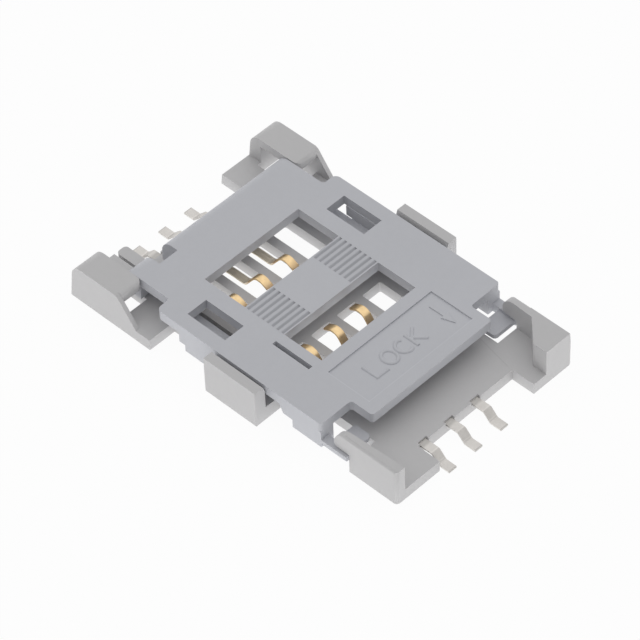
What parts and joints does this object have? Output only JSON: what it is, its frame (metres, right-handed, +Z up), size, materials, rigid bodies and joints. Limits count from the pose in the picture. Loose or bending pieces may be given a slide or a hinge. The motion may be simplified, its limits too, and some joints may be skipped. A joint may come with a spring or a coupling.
{
  "type": "card connector",
  "caption": "Surface-mount card connector: a moulded base with two rows of spring contacts and a sliding, locking cover with windows and finger grips.",
  "frame": {"origin": "on the board face, halfway between the two rows of contacts and in the middle of their four places", "axes": "+X towards the front, where the card goes in; +Y to the left; +Z up from the board"},
  "size_m": [0.0305, 0.0198, 0.0032],
  "materials": {
    "base_plastic": "fine matt moulded grey",
    "cover_plastic": "fine matt moulded grey, slightly cooler",
    "contact_metal": "gold-flashed arcs, tinned tails"
  },
  "bodies": {
    "base": {"base_housing": "base_plastic", "contact_rear_1": "contact_metal", "contact_rear_2": "contact_metal", "contact_rear_3": "contact_metal", "contact_front_1": "contact_metal", "contact_front_2": "contact_metal", "contact_front_3": "contact_metal"},
    "cover": {"slide_cover": "cover_plastic"}
  },
  "joints": [
    {"name": "cover_slide", "type": "slide", "parent": "base", "child": "cover", "axis": [1, 0, 0], "range_m": [-0.0018, 0]}
  ]
}
